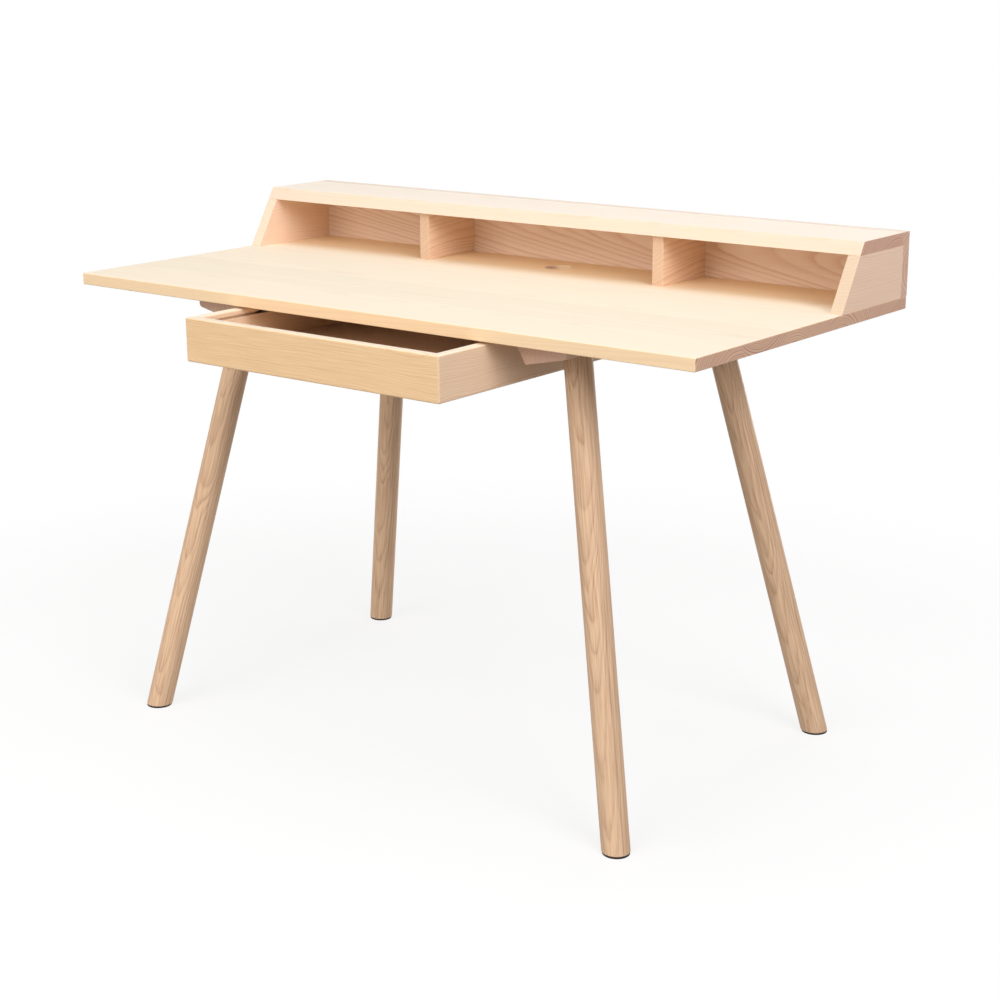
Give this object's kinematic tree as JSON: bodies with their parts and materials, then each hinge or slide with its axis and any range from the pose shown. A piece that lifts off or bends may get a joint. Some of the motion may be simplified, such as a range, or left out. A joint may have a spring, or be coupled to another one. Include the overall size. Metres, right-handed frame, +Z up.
{
  "type": "student desk with hutch",
  "caption": "Pale ash desk with splayed round legs, a low raked hutch with open bays along the back edge, a cable hole, and a shallow drawer that slides out under the top.",
  "frame": {"origin": "middle of the whole object's base on the floor, with the drawer pulled out as in the rest pose", "axes": "+X to the sitter's right along the desk's width, +Y from the sitter towards the hutch, +Z up"},
  "size_m": [1.2, 0.711, 0.84],
  "materials": {
    "ash_board": "matt clear finish on pale ash boards",
    "ash_frame": "matt clear finish on pale ash legs and rails",
    "ash_drawer": "matt clear finish on pale ash drawer boards",
    "drawer_panel": "thin veneered panel, matt",
    "dowel": "raw beech",
    "felt": "dark felt",
    "black_steel": "satin black coating on bent sheet steel",
    "zinc_steel": "zinc plated"
  },
  "bodies": {
    "desk": {"desktop": "ash_board", "hutch_back_panel": "ash_board", "hutch_top_board": "ash_board", "hutch_cheek_left": "ash_board", "hutch_cheek_right": "ash_board", "hutch_divider_left": "ash_board", "hutch_divider_right": "ash_board", "hutch_dowels": "dowel", "leg_rail_left": "ash_frame", "leg_rail_right": "ash_frame", "leg_front_left": "ash_frame", "leg_front_right": "ash_frame", "leg_back_left": "ash_frame", "leg_back_right": "ash_frame", "foot_pad_front_left": "felt", "foot_pad_front_right": "felt", "foot_pad_back_left": "felt", "foot_pad_back_right": "felt", "leg_bolts": "zinc_steel", "leg_inserts": "zinc_steel", "rail_screws": "zinc_steel", "drawer_runner_left": "black_steel", "drawer_runner_right": "black_steel", "runner_screws": "zinc_steel", "drawer_stop": "ash_frame", "drawer_stop_screws": "zinc_steel"},
    "drawer": {"drawer_front": "ash_drawer", "drawer_side_left": "ash_drawer", "drawer_side_right": "ash_drawer", "drawer_back": "ash_drawer", "drawer_bottom": "drawer_panel", "drawer_splines": "dowel", "drawer_dowels": "dowel"}
  },
  "joints": [
    {"name": "drawer_slide", "type": "slide", "parent": "desk", "child": "drawer", "axis": [0, -1, 0], "range_m": [-0.12, 0.18]}
  ]
}
